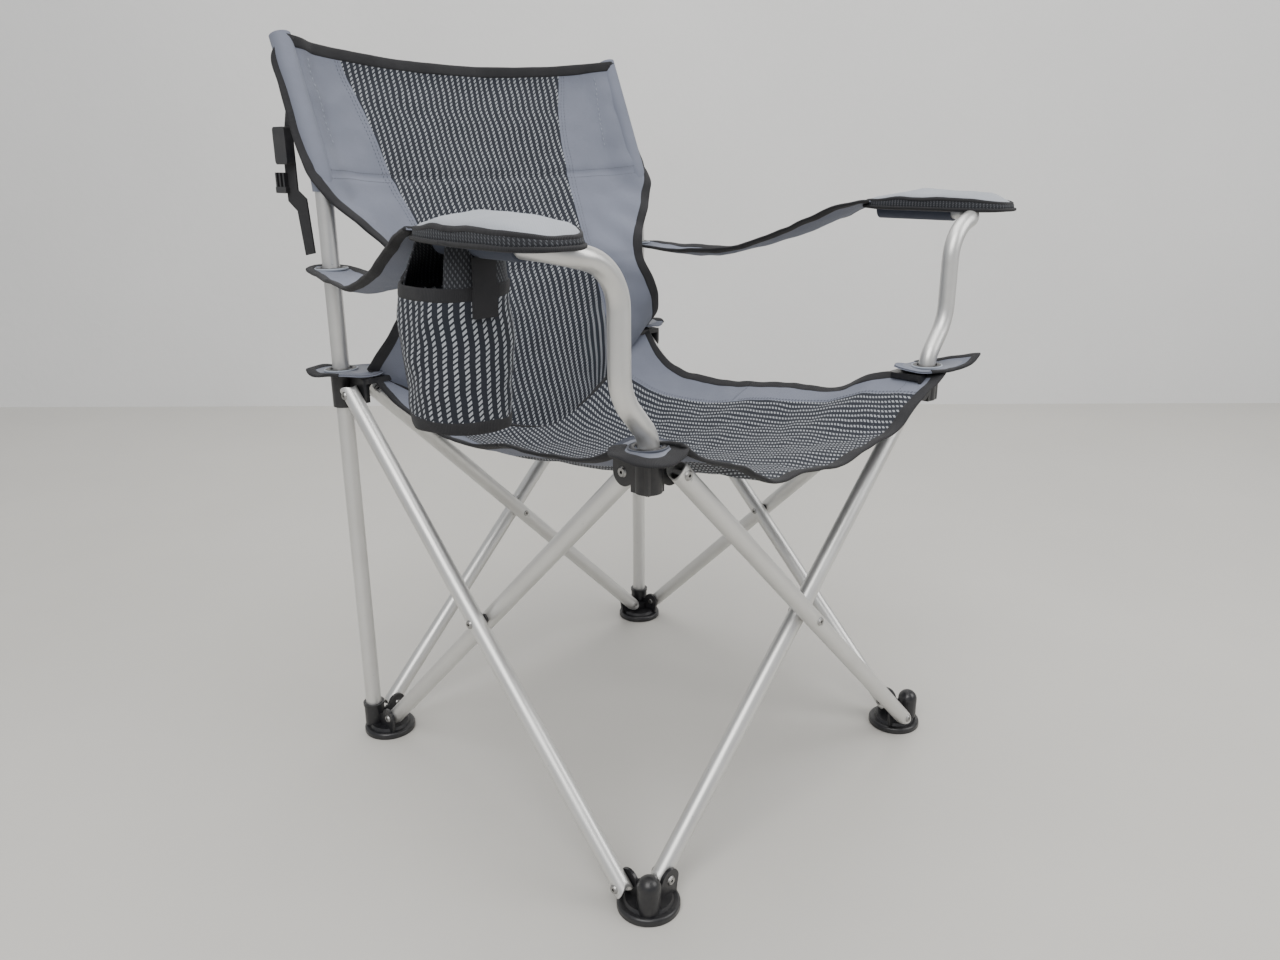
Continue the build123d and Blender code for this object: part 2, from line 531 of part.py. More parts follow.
def back_panel():
    """The back, hung between the two pockets and sewn to the seat along its lower edge."""
    inside = UPRIGHT_PLACE - TUBE_R - CLOTH_T - CLOTH_GAP
    _, (_, knee_y, knee_z), (_, _, top_z) = upright_axis(1)
    lean = tan(radians(UPRIGHT_LEAN_DEG))
    stations = []
    for z, behind, below in ((top_z - 4, 34, 14), ((top_z + knee_z) / 2, 42, 12)):
        y = knee_y + (z - knee_z) * lean
        stations.append((inside, (y, z), (y + behind, z - below)))
    stations.append((inside, (knee_y - 4, knee_z + 3), (knee_y + 34, knee_z - 9)))
    for inward, back, up, behind, below in BACK_STATIONS:
        y, z = CORNER + back, HUB_TOP + up
        stations.append((UPRIGHT_PLACE - inward, (y, z), (y + behind, z - below)))
    return hammock(stations, CLOTH_T)

# ---------------------------------------------------------------- cup holder and carry strap
def cup_shape(grow, z0, z1):
    """An upright oval prism about the cup holder's middle."""
    oval = Ellipse(CUP_WIDTH / 2 + grow, CUP_LENGTH / 2 + grow)
    return Pos(-CUP_X, CUP_Y, z0) * extrude(oval, z1 - z0)

def cup_holder():
    """The bag under the sitter's right arm, open at the top."""
    inside = cup_shape(-CUP_WALL, CUP_BOTTOM_Z + CUP_WALL, CUP_TOP_Z + 1)
    return cup_shape(0, CUP_BOTTOM_Z, CUP_TOP_Z) - inside

def cup_tabs():
    """The two tabs that hang the bag: one from the tunnel and one from the back end of the pad."""
    x, _, _ = post_corners(-1)[-1]
    low, top = CUP_TOP_Z - TAB_W, CUP_TOP_Z
    front_y, rear_y = CUP_Y - CUP_LENGTH / 2, CUP_Y + CUP_LENGTH / 2
    near_x, far_x = x - TAB_W / 2, x + TAB_W / 2
    front = span(near_x, far_x, front_y - WEBBING_T, front_y, low, PAD_BOTTOM_Z - TUBE_R)
    front += span(near_x, far_x, front_y, front_y + 5, low, top)
    front -= tunnel_bar(-1, TUBE_R + TUNNEL_WALL, True)
    outline = Polyline(
        (rear_y - 5, low),
        (rear_y + WEBBING_T, low),
        (rear_y + WEBBING_T, top + 2),
        (PAD_REAR_Y - 1, PAD_BOTTOM_Z),
        (PAD_REAR_Y - 4, PAD_BOTTOM_Z),
        (rear_y - 0.5, top),
        (rear_y - 5, top),
        (rear_y - 5, low),
    )
    rear = plate_x(make_face(outline), near_x, far_x)
    return [front - cup_shape(0, CUP_BOTTOM_Z, top), rear - cup_shape(0, CUP_BOTTOM_Z, top)]

def carry_strap():
    """The webbing that ties the folded chair, sewn to the right pocket and hanging behind it."""
    points = [(STRAP_Y + back, UPRIGHT_BEND_Z + up) for back, up in STRAP_OUTLINE]
    outline = Polyline(*points, points[0])
    strap = plate_x(make_face(outline), STRAP_X - WEBBING_T, STRAP_X)
    return strap - pipe(upright_axis(-1), [UPRIGHT_BEND_R], TUBE_R + CLOTH_T)

def buckle_socket():
    """The hollow half of the strap's buckle."""
    x1 = STRAP_X - WEBBING_T
    x0 = x1 - BUCKLE_T
    z0, z1 = UPRIGHT_BEND_Z + 40, UPRIGHT_BEND_Z + 86
    body = span(x0, x1, STRAP_Y - 16, STRAP_Y + 16, z0, z1)
    body = fillet(body.edges().filter_by(Axis.X), 5)
    return body - span(x0 + 3, x1 - 3, STRAP_Y - 12, STRAP_Y + 12, z0 - 1, z1 - 14)

def buckle_prong():
    """The half of the buckle with the sprung prongs."""
    x1 = STRAP_X - WEBBING_T
    x0 = x1 - BUCKLE_T / 2
    z0, z1 = UPRIGHT_BEND_Z + 4, UPRIGHT_BEND_Z + 12
    bar = span(x0, x1, STRAP_Y + 6, STRAP_Y + PRONG_BACK, z0, z1)
    bar = fillet(bar.edges().filter_by(Axis.X), 1.5)
    prongs = [span(x0, x1, STRAP_Y + y, STRAP_Y + y + 4, z1 - 2, z1 + 18) for y in (8, 18, 28)]
    return bar + prongs

# ---------------------------------------------------------------- the whole chair
def build():
    """Every node of the chair by name."""
    nodes = {}
    for side_name, corner in SIDES.items():
        for name, piece in side_of_frame(corner).items():
            nodes[f"{side_name}_{name}"] = piece
    for corner in CORNERS:
        front = corner.startswith("front")
        nodes[f"{corner}_foot"] = at_corner(corner, front_foot() if front else rear_foot())
        nodes[f"{corner}_hub"] = at_corner(corner, front_hub() if front else rear_hub())
        foot_pair = corner_rivets(FOOT_RIVET_Z, hub=False)
        hub_pair = corner_rivets(HUB_RIVET_Z, hub=True)
        nodes[f"{corner}_foot_rivets"] = at_corner(corner, Part() + foot_pair)
        nodes[f"{corner}_hub_rivets"] = at_corner(corner, Part() + hub_pair)
        nodes[f"{corner}_seat_corner"] = at_corner(corner, seat_corner(front))
    for name, side in (("right", -1), ("left", 1)):
        nodes[f"rear_{name}_upright"] = upright(side)
        nodes[f"{name}_upright_plug"] = upright_plug(side)
        nodes[f"{name}_back_pocket"] = back_pocket(side)
        nodes[f"{name}_arm_post"] = arm_post(side)
        nodes[f"{name}_arm_tunnel"] = arm_tunnel(side)
        nodes[f"{name}_arm_pad"] = arm_pad(side)
        nodes[f"{name}_arm_strap"] = arm_strap(side)
        nodes[f"{name}_arm_eyelet"] = arm_eyelet(side)
    nodes["seat_rear"] = seat_rear()
    nodes["seat_front"] = seat_front()
    nodes["back_panel"] = back_panel()
    nodes["cup_holder"] = cup_holder()
    nodes["cup_holder_tabs"] = Part() + cup_tabs()
    nodes["carry_strap"] = carry_strap()
    nodes["carry_buckle_socket"] = buckle_socket()
    nodes["carry_buckle_prong"] = buckle_prong()
    return nodes

NODES = build()
os.makedirs("parts", exist_ok=True)
for node_name, node in NODES.items():
    export_step(Pos(0, FRAME_SHIFT_Y, 0) * node, f"parts/{node_name}.step")
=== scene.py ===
import json
import math
import bpy
import numpy as np
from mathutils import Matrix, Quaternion, Vector, noise


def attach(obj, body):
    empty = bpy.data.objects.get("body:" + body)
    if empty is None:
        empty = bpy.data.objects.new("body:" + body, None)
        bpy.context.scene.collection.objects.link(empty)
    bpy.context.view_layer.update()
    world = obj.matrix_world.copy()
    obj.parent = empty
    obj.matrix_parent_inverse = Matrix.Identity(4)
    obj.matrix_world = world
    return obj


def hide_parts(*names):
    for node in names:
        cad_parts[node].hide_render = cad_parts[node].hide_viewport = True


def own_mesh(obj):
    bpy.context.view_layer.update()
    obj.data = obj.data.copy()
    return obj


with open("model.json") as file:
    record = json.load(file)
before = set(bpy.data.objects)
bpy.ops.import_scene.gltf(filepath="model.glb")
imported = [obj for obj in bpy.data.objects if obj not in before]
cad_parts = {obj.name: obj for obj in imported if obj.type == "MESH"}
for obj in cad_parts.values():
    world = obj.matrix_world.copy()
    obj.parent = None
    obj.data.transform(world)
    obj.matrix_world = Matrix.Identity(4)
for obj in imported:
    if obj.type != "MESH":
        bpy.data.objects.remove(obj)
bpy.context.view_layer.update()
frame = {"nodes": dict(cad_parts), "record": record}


# Sizes are in millimetres about the middle of the four feet, and mm() puts them in the frame.
BACK_SHIFT = 41.5
TUBE_R = 11.0
POST_AT = 269.5
UPRIGHT_AT = 282.0
STRAP_EYELET_Z = 673.0
PATCH_Z = 541.8                # of a seat corner's cloth on its hub
EYELET_LIFT = 2.1              # of the eyelet's middle over that cloth
PAD_UNDERSIDE_Z = 738.5
CUP_CENTRE = (-378.0, -117.0)
CUP_HALF = (44.5, 54.5)        # across and along
CUP_BOTTOM, CUP_TOP = 563, 700
CUP_FLOOR_Z = 564.5
RIPPLE = 0.5                   # of a binding along its edge
STITCH_WIDTH, STITCH_LIFT = 0.75, 0.35
SHARP_DEG = 32.0               # a corner of the hard parts that turns more than this stays sharp
STRIPE_SHARE = 0.42            # of the mesh's width that its light rows take


def mm(points):
    """Millimetres about the feet to metres in the frame."""
    return (np.asarray(points, float) - (0.0, BACK_SHIFT, 0.0)) / 1000.0


# ---------------------------------------------------------------- shaders
def material(name, colour, rough, metal=0.0, sheen=0.0, coat=0.0):
    """A material with its colour, and its nodes and links for more."""
    m = bpy.data.materials.new(name)
    m.use_nodes = True
    m.diffuse_color = (*colour, 1.0)
    nodes, links = m.node_tree.nodes, m.node_tree.links
    shader = nodes["Principled BSDF"]
    shader.inputs["Base Color"].default_value = (*colour, 1.0)
    shader.inputs["Roughness"].default_value = rough
    shader.inputs["Metallic"].default_value = metal
    shader.inputs["Sheen Weight"].default_value = sheen
    shader.inputs["Sheen Roughness"].default_value = 0.5
    shader.inputs["Coat Weight"].default_value = coat
    return m, nodes, links, shader


def math_node(nodes, links, kind, a, b=None, c=None):
    """A maths node on sockets or numbers, and its result."""
    node = nodes.new("ShaderNodeMath")
    node.operation = kind
    for i, value in enumerate((a, b, c)):
        if value is None:
            continue
        if isinstance(value, (int, float)):
            node.inputs[i].default_value = value
        else:
            links.new(value, node.inputs[i])
    return node.outputs[0]


def mix_colours(nodes, links, share, first, second):
    """Two colours mixed by a socket or number. A colour is a socket or three numbers."""
    node = nodes.new("ShaderNodeMix")
    node.data_type = "RGBA"
    for socket, value in ((node.inputs[0], share), (node.inputs[6], first), (node.inputs[7], second)):
        if isinstance(value, tuple):
            socket.default_value = (*value, 1.0)
        elif isinstance(value, (int, float)):
            socket.default_value = value
        else:
            links.new(value, socket)
    return node.outputs[2]


def cloth_coords(nodes, links):
    """How far across and along the cloth, in metres."""
    uv = nodes.new("ShaderNodeUVMap")
    uv.uv_map = "UVMap"
    split = nodes.new("ShaderNodeSeparateXYZ")
    links.new(uv.outputs[0], split.inputs[0])
    return split.outputs[0], split.outputs[1]


def noise_node(nodes, links, vector, scale, detail=3.0, rough=0.5):
    """A noise texture's value."""
    node = nodes.new("ShaderNodeTexNoise")
    node.inputs["Scale"].default_value = scale
    node.inputs["Detail"].default_value = detail
    node.inputs["Roughness"].default_value = rough
    if vector is not None:
        links.new(vector, node.inputs["Vector"])
    return node.outputs["Fac"]


def bump(nodes, links, shader, height, distance, strength=1.0, under=None):
    """A bump on a shader. It goes over another bump's normal if one is given."""
    node = nodes.new("ShaderNodeBump")
    node.inputs["Distance"].default_value = distance
    node.inputs["Strength"].default_value = strength
    links.new(height, node.inputs["Height"])
    if under is not None:
        links.new(under, node.inputs["Normal"])
    links.new(node.outputs[0], shader.inputs["Normal"])
    return node.outputs[0]


def object_coords(nodes):
    """The place on the object, in metres."""
    return nodes.new("ShaderNodeTexCoord").outputs["Object"]


def aluminium():
    """Satin tube with cloudy patches and small dull scuffs."""
    m, nodes, links, shader = material("satin_anodised_tube", (0.68, 0.68, 0.67), 0.36, metal=0.8)
    place = object_coords(nodes)
    fine = noise_node(nodes, links, place, 900.0, 2.0)
    cloudy = noise_node(nodes, links, place, 14.0, 4.0, 0.6)
    scuffs = noise_node(nodes, links, place, 120.0, 6.0, 0.75)
    worn = math_node(nodes, links, "GREATER_THAN", scuffs, 0.67)
    tone = mix_colours(nodes, links, cloudy, (0.60, 0.595, 0.58), (0.74, 0.74, 0.725))
    scuffed = math_node(nodes, links, "MULTIPLY", worn, 0.45)
    links.new(mix_colours(nodes, links, scuffed, tone, (0.33, 0.33, 0.33)), shader.inputs["Base Color"])
    links.new(math_node(nodes, links, "MULTIPLY_ADD", cloudy, 0.2, 0.28), shader.inputs["Roughness"])
    bump(nodes, links, shader, fine, 0.0002, 0.35)
    return m


def steel():
    """Rivet metal with darker spots."""
    m, nodes, links, shader = material("rivet_steel", (0.30, 0.30, 0.30), 0.38, metal=1.0)
    spots = noise_node(nodes, links, object_coords(nodes), 260.0, 5.0, 0.7)
    tone = mix_colours(nodes, links, spots, (0.20, 0.195, 0.19), (0.52, 0.52, 0.51))
    links.new(tone, shader.inputs["Base Color"])
    links.new(math_node(nodes, links, "MULTIPLY_ADD", spots, 0.35, 0.2), shader.inputs["Roughness"])
    return m


def plastic():
    """Black moulded plastic with a fine grain and a little dust."""
    m, nodes, links, shader = material("black_moulded_plastic", (0.014, 0.014, 0.016), 0.34, coat=0.1)
    place = object_coords(nodes)
    grain = noise_node(nodes, links, place, 700.0, 3.0)
    dust = noise_node(nodes, links, place, 45.0, 6.0, 0.7)
    share = math_node(nodes, links, "MULTIPLY", math_node(nodes, links, "SUBTRACT", dust, 0.45), 0.3)
    clean = math_node(nodes, links, "MAXIMUM", share, 0.0)
    tone = mix_colours(nodes, links, clean, (0.012, 0.012, 0.014), (0.20, 0.19, 0.17))
    links.new(tone, shader.inputs["Base Color"])
    links.new(math_node(nodes, links, "MULTIPLY_ADD", dust, 0.3, 0.2), shader.inputs["Roughness"])
    bump(nodes, links, shader, grain, 0.00025, 0.4)
    return m


def weave(nodes, links, across, along, pitch):
    """The height of a plain weave of that pitch in metres, from 0 to 1."""
    turn = 2 * math.pi / pitch
    warp = math_node(nodes, links, "SINE", math_node(nodes, links, "MULTIPLY", across, turn))
    weft = math_node(nodes, links, "SINE", math_node(nodes, links, "MULTIPLY", along, turn))
    crossed = math_node(nodes, links, "MULTIPLY", warp, weft)
    return math_node(nodes, links, "MULTIPLY_ADD", crossed, 0.5, 0.5)


def canvas(name, dark, light, pitch=0.0011):
    """A plain woven cloth with soft marks and a little fade."""
    m, nodes, links, shader = material(name, light, 0.82, sheen=0.06)
    across, along = cloth_coords(nodes, links)
    place = object_coords(nodes)
    height = weave(nodes, links, across, along, pitch)
    marks = noise_node(nodes, links, place, 9.0, 6.0, 0.62)
    thread = mix_colours(nodes, links, height, dark, light)
    faded = math_node(nodes, links, "MULTIPLY_ADD", marks, 0.9, -0.25)
    lighter = tuple(min(1.0, c * 1.22 + 0.01) for c in light)
    links.new(mix_colours(nodes, links, faded, thread, lighter), shader.inputs["Base Color"])
    creases = noise_node(nodes, links, place, 26.0, 5.0, 0.55)
    soft = bump(nodes, links, shader, creases, 0.004, 0.30)
    bump(nodes, links, shader, height, 0.0004, 0.5, soft)
    return m


def striped(name, pitch=0.0105, dash=0.0052, light=(0.31, 0.325, 0.35), dark=(0.006, 0.008, 0.014)):
    """A knitted mesh: dark, with upright rows of short slanting light dashes."""
    m, nodes, links, shader = material(name, (0.10, 0.11, 0.13), 0.85, sheen=0.03)
    across, along = cloth_coords(nodes, links)
    place = object_coords(nodes)
    row = math_node(nodes, links, "FRACT", math_node(nodes, links, "DIVIDE", across, pitch))
    off = math_node(nodes, links, "ABSOLUTE", math_node(nodes, links, "SUBTRACT", row, 0.5))
    inside = math_node(nodes, links, "LESS_THAN", off, STRIPE_SHARE / 2)
    slant = math_node(nodes, links, "MULTIPLY", row, 1.5)
    turns = math_node(nodes, links, "ADD", math_node(nodes, links, "DIVIDE", along, dash), slant)
    wave = math_node(nodes, links, "SINE", math_node(nodes, links, "MULTIPLY", turns, 2 * math.pi))
    lit = math_node(nodes, links, "GREATER_THAN", wave, -0.25)
    dashes = math_node(nodes, links, "MULTIPLY", inside, lit)
    worn = noise_node(nodes, links, place, 60.0, 4.0, 0.7)
    dull, vivid = tuple(c * 0.72 for c in light), tuple(min(1.0, c * 1.25) for c in light)
    bright = mix_colours(nodes, links, worn, dull, vivid)
    fine = weave(nodes, links, across, along, 0.0021)
    deep = mix_colours(nodes, links, fine, dark, tuple(c * 1.8 + 0.002 for c in dark))
    links.new(mix_colours(nodes, links, dashes, deep, bright), shader.inputs["Base Color"])
    soft = bump(nodes, links, shader, noise_node(nodes, links, place, 22.0, 5.0, 0.55), 0.004, 0.3)
    knit = math_node(nodes, links, "ADD", math_node(nodes, links, "MULTIPLY", dashes, 0.7),
                     math_node(nodes, links, "MULTIPLY", fine, 0.3))
    bump(nodes, links, shader, knit, 0.0007, 0.7, soft)
    return m


def tape_cloth():
    """Black ribbed binding tape, slightly dusty."""
    m, nodes, links, shader = material("black_binding", (0.009, 0.009, 0.011), 0.82, sheen=0.04)
    _, along = cloth_coords(nodes, links)
    rib = math_node(nodes, links, "SINE", math_node(nodes, links, "MULTIPLY", along, 2 * math.pi / 0.0016))
    dusty = noise_node(nodes, links, object_coords(nodes), 60.0, 5.0, 0.7)
    dust = math_node(nodes, links, "MULTIPLY", dusty, 0.25)
    tone = mix_colours(nodes, links, dust, (0.005, 0.005, 0.007), (0.05, 0.05, 0.055))
    links.new(tone, shader.inputs["Base Color"])
    bump(nodes, links, shader, rib, 0.0003, 0.5)
    return m


def thread(name, colour):
    """Sewing thread with a twist."""
    m, nodes, links, shader = material(name, colour, 0.7, sheen=0.3)
    twist = noise_node(nodes, links, object_coords(nodes), 1500.0, 2.0)
    bump(nodes, links, shader, twist, 0.0002, 0.5)
    return m


def vinyl():
    """The grained grey patch round an eyelet."""
    m, nodes, links, shader = material("grey_corner_vinyl", (0.12, 0.14, 0.18), 0.48, sheen=0.02)
    place = object_coords(nodes)
    grain = nodes.new("ShaderNodeTexVoronoi")
    grain.inputs["Scale"].default_value = 900.0
    links.new(place, grain.inputs["Vector"])
    marks = noise_node(nodes, links, place, 30.0, 5.0, 0.65)
    tone = mix_colours(nodes, links, marks, (0.12, 0.13, 0.165), (0.20, 0.215, 0.26))
    links.new(tone, shader.inputs["Base Color"])
    bump(nodes, links, shader, grain.outputs["Distance"], 0.0003, 0.5)
    return m


ALUMINIUM, STEEL, PLASTIC = aluminium(), steel(), plastic()
PANEL = canvas("blue_grey_panel", (0.115, 0.127, 0.165), (0.175, 0.190, 0.240))
UNDER = canvas("navy_underside", (0.012, 0.016, 0.030), (0.028, 0.034, 0.055))
TUNNEL = canvas("slate_tunnel", (0.030, 0.036, 0.055), (0.058, 0.068, 0.098))
PAD_TOP = canvas("light_grey_pad", (0.24, 0.26, 0.29), (0.37, 0.39, 0.43), pitch=0.0018)
MESH = striped("striped_mesh")
BAG = striped("bag_mesh", pitch=0.0100, dash=0.0052, light=(0.36, 0.38, 0.41))
BAND = striped("pad_band_mesh", pitch=0.0045, dash=0.003, light=(0.075, 0.08, 0.09),
               dark=(0.008, 0.009, 0.012))
TAPE = tape_cloth()
DARK_THREAD = thread("dark_thread", (0.035, 0.042, 0.062))
PALE_THREAD = thread("pale_thread", (0.28, 0.31, 0.36))
VINYL = vinyl()


# ---------------------------------------------------------------- meshes
def make_mesh(name, points, faces, materials, uvs, slots=None):
    """A mesh object in the frame, with a UV for each corner of each face in metres."""
    data = bpy.data.meshes.new(name)
    data.from_pydata([tuple(p) for p in mm(points)], [], [tuple(int(i) for i in f) for f in faces])
    for m in materials:
        data.materials.append(m)
    layer = data.uv_layers.new(name="UVMap")
    layer.data.foreach_set("uv", np.asarray(uvs, np.float32).ravel())
    if slots is not None:
        data.polygons.foreach_set("material_index", np.asarray(slots, np.int32))
    data.polygons.foreach_set("use_smooth", [True] * len(data.polygons))
    data.update()
    obj = bpy.data.objects.new(name, data)
    bpy.context.scene.collection.objects.link(obj)
    return obj


def spline(stations, at):
    """A smooth curve through stations, whose first column is the parameter."""
    table = np.asarray(stations, float)
    key, values = table[:, 0], table[:, 1:]
    at = np.clip(np.asarray(at, float), key[0], key[-1])
    i = np.clip(np.searchsorted(key, at, side="right") - 1, 0, len(key) - 2)
    slope = np.gradient(values, key, axis=0)
    step = (key[i + 1] - key[i])[:, None]
    t = ((at - key[i]) / (key[i + 1] - key[i]))[:, None]
    return (
        (2 * t**3 - 3 * t**2 + 1) * values[i]
        + (t**3 - 2 * t**2 + t) * step * slope[i]
        + (-2 * t**3 + 3 * t**2) * values[i + 1]
        + (t**3 - t**2) * step * slope[i + 1]
    )


def normals_of(grid, closed=False):
    """The unit normals of a grid of points."""
    if closed:
        across = np.roll(grid, -1, axis=1) - np.roll(grid, 1, axis=1)
    else:
        across = np.gradient(grid, axis=1)
    normal = np.cross(across, np.gradient(grid, axis=0))
    return normal / np.maximum(np.linalg.norm(normal, axis=2, keepdims=True), 1e-9)


def crumple(grid, normal, height, size, seed=0.0):
    """The grid pushed along its normals by smooth noise of that height and size in millimetres."""
    shift = np.empty(grid.shape[:2])
    for index in np.ndindex(*shift.shape):
        x, y, z = grid[index] / size
        shift[index] = noise.noise(Vector((x + seed, y, z)))
    return grid + normal * (shift * height)[..., None]


def sheet_mesh(name, grid, thickness, materials, slot_of=None):
    """A closed sheet of cloth about a grid of points."""
    rows, columns = grid.shape[:2]
    normal = normals_of(grid)
    front, behind = grid + normal * thickness / 2, grid - normal * thickness / 2
    points = np.concatenate([front.reshape(-1, 3), behind.reshape(-1, 3)])
    wide = np.linalg.norm(np.diff(grid, axis=1, prepend=grid[:, :1]), axis=2).cumsum(axis=1)
    wide -= wide[:, -1:] / 2
    tall = np.linalg.norm(np.diff(grid, axis=0, prepend=grid[:1]), axis=2).cumsum(axis=0)
    middle = tall[:, columns // 2][:, None]
    uv = np.stack([wide, np.broadcast_to(middle, wide.shape)], axis=2) / 1000
    flat_uv = uv.reshape(-1, 2)
    count = rows * columns
    faces, slots = [], []

    def add(a, b, c, d, slot):
        faces.append((a, b, c, d))
        slots.append(slot)

    for i in range(rows - 1):
        for j in range(columns - 1):
            slot = slot_of(i, j) if slot_of else 0
            a, d = i * columns + j, (i + 1) * columns + j
            b, c = a + 1, d + 1
            add(a, b, c, d, slot)
            add(count + d, count + c, count + b, count + a, slot)
    for i in range(rows - 1):
        for j, turn in ((0, 1), (columns - 1, -1)):
            a, d = i * columns + j, (i + 1) * columns + j
            quad = (a, d, count + d, count + a)
            add(*(quad if turn > 0 else quad[::-1]), slot_of(i, min(j, columns - 2)) if slot_of else 0)
    for j in range(columns - 1):
        for i, turn in ((0, -1), (rows - 1, 1)):
            a, b = i * columns + j, i * columns + j + 1
            quad = (a, b, count + b, count + a)
            add(*(quad[::-1] if turn > 0 else quad), slot_of(min(i, rows - 2), j) if slot_of else 0)
    corner_uv = flat_uv[np.asarray(faces).ravel() % count]
    return make_mesh(name, points, faces, materials, corner_uv, slots)


def tape(name, line, inward, normal, width=16.0, thickness=4.6, overhang=3.0, closed=False):
    """A binding folded over an edge: a flat oval swept along it."""
    line, inward, normal = (np.asarray(a, float) for a in (line, inward, normal))
    inward = inward / np.linalg.norm(inward, axis=1, keepdims=True)
    normal = normal / np.linalg.norm(normal, axis=1, keepdims=True)
    around = 14
    angles = np.linspace(0, 2 * math.pi, around, endpoint=False)
    cos, sin = np.cos(angles), np.sin(angles)
    flat = np.sign(cos) * np.abs(cos) ** 0.7
    high = np.sign(sin) * np.abs(sin) ** 0.6
    count = len(line)
    rippled = RIPPLE * np.array([noise.noise(Vector(tuple(p / 17))) for p in line])
    centre = line + inward * (width / 2 - overhang) + normal * rippled[:, None]
    points = (
        centre[:, None]
        + inward[:, None] * (flat * width / 2)[None, :, None]
        + normal[:, None] * (high * thickness / 2)[None, :, None]
    ).reshape(-1, 3)
    run = np.linalg.norm(np.diff(line, axis=0, prepend=line[:1]), axis=1).cumsum() / 1000
    faces, uvs = [], []
    for i in range(count if closed else count - 1):
        n = (i + 1) % count
        for j in range(around):
            k = (j + 1) % around
            faces.append((i * around + j, i * around + k, n * around + k, n * around + j))
            end = run[n] if n else run[-1] + 0.002
            uvs += [(j / 400, run[i]), ((j + 1) / 400, run[i]), ((j + 1) / 400, end), (j / 400, end)]
    if not closed:
        for start, order in ((0, 1), ((count - 1) * around, -1)):
            ring = [start + j for j in range(around)][::-order]
            faces.append(tuple(ring))
            uvs += [(0.0, 0.0)] * around
    return make_mesh(name, points, faces, [TAPE], uvs)


def grid_edge(grid, normal, side):
    """A grid's edge as (line, inward, normal). 'first' and 'last' are rows, 'left' and 'right' columns."""
    if side == "first":
        return grid[0], grid[2] - grid[0], normal[0]
    if side == "last":
        return grid[-1], grid[-3] - grid[-1], normal[-1]
    if side == "left":
        return grid[:, 0], grid[:, 2] - grid[:, 0], normal[:, 0]
    return grid[:, -1], grid[:, -3] - grid[:, -1], normal[:, -1]


def stitches(name, lines, length=3.4, gap=1.8, mat=None):
    """Rows of sewing. Each line is (points, normals) on the cloth's face."""
    points, faces, uvs = [], [], []
    for line, normal in lines:
        line, normal = np.asarray(line, float), np.asarray(normal, float)
        run = np.linalg.norm(np.diff(line, axis=0, prepend=line[:1]), axis=1).cumsum()
        for start in np.arange(0, run[-1] - length, length + gap):
            ends = []
            for at in (start, start + length / 2, start + length):
                ends.append([np.interp(at, run, line[:, k]) for k in range(3)])
            up = np.array([np.interp(start, run, normal[:, k]) for k in range(3)])
            up /= max(np.linalg.norm(up), 1e-9)
            a, b, c = (np.array(e) for e in ends)
            side = np.cross(c - a, up)
            side /= max(np.linalg.norm(side), 1e-9)
            first = len(points)
            for p, high in ((a, -0.2), (b, STITCH_LIFT), (c, -0.2)):
                low, crest = up * (high - 0.3), up * (high + 0.3)
                points += [p + side * STITCH_WIDTH / 2 + low, p + crest, p - side * STITCH_WIDTH / 2 + low]
            for k in (0, 3):
                faces += [
                    (first + k, first + k + 1, first + k + 4, first + k + 3),
                    (first + k + 1, first + k + 2, first + k + 5, first + k + 4),
                    (first + k + 2, first + k, first + k + 3, first + k + 5),
                ]
                uvs += [(0.0, 0.0)] * 12
            faces += [(first, first + 2, first + 1), (first + 6, first + 7, first + 8)]
            uvs += [(0.0, 0.0)] * 6
    return make_mesh(name, points, faces, [mat or DARK_THREAD], uvs)


def oval_ring(name, centre, inner, rim, height, stretch=1.0, mat=None):
    """A round-edged ring about a tube, stretched along X."""
    count, around = 48, 12
    points, faces = [], []
    for i in range(count):
        t = 2 * math.pi * i / count
        for j in range(around):
            a = 2 * math.pi * j / around
            r = inner + rim / 2 + rim / 2 * math.cos(a)
            x, y = r * math.cos(t) * (1 + (stretch - 1) * abs(math.cos(t))), r * math.sin(t)
            z = height / 2 * math.sin(a)
            points.append((centre[0] + x, centre[1] + y, centre[2] + z))
            n, k = (i + 1) % count, (j + 1) % around
            faces.append((i * around + j, n * around + j, n * around + k, i * around + k))
    return make_mesh(name, points, faces, [mat or PLASTIC], [(0.0, 0.0)] * (4 * len(faces)))


# ---------------------------------------------------------------- the sling
SHEET = 2.2                    # the cloth's thickness
COLUMNS = 121
U = np.linspace(-1, 1, COLUMNS)
MESH_U = 0.62                  # the share of the columns that lies on the mesh

# how far down the back, then the side edge's x, y, z, the middle's y, z, and the mesh's half width
BACK = (
    (0.00, 282, 352, 955, 386, 936, 196),
    (0.04, 296, 346, 936, 383, 915, 193),
    (0.12, 299, 330, 895, 370, 878, 181),
    (0.20, 300, 314, 855, 356, 840, 172),
    (0.28, 300, 297, 815, 340, 802, 164),
    (0.36, 296, 273, 777, 322, 765, 156),
    (0.44, 268, 247, 737, 305, 727, 148),
    (0.52, 232, 226, 698, 290, 688, 143),
    (0.61, 217, 209, 660, 273, 645, 143),
    (0.70, 233, 201, 624, 256, 592, 148),
    (0.80, 250, 207, 592, 238, 532, 156),
    (0.90, 262, 225, 563, 221, 474, 166),
    (1.00, 262, 246, 545, 206, 425, 176),
)
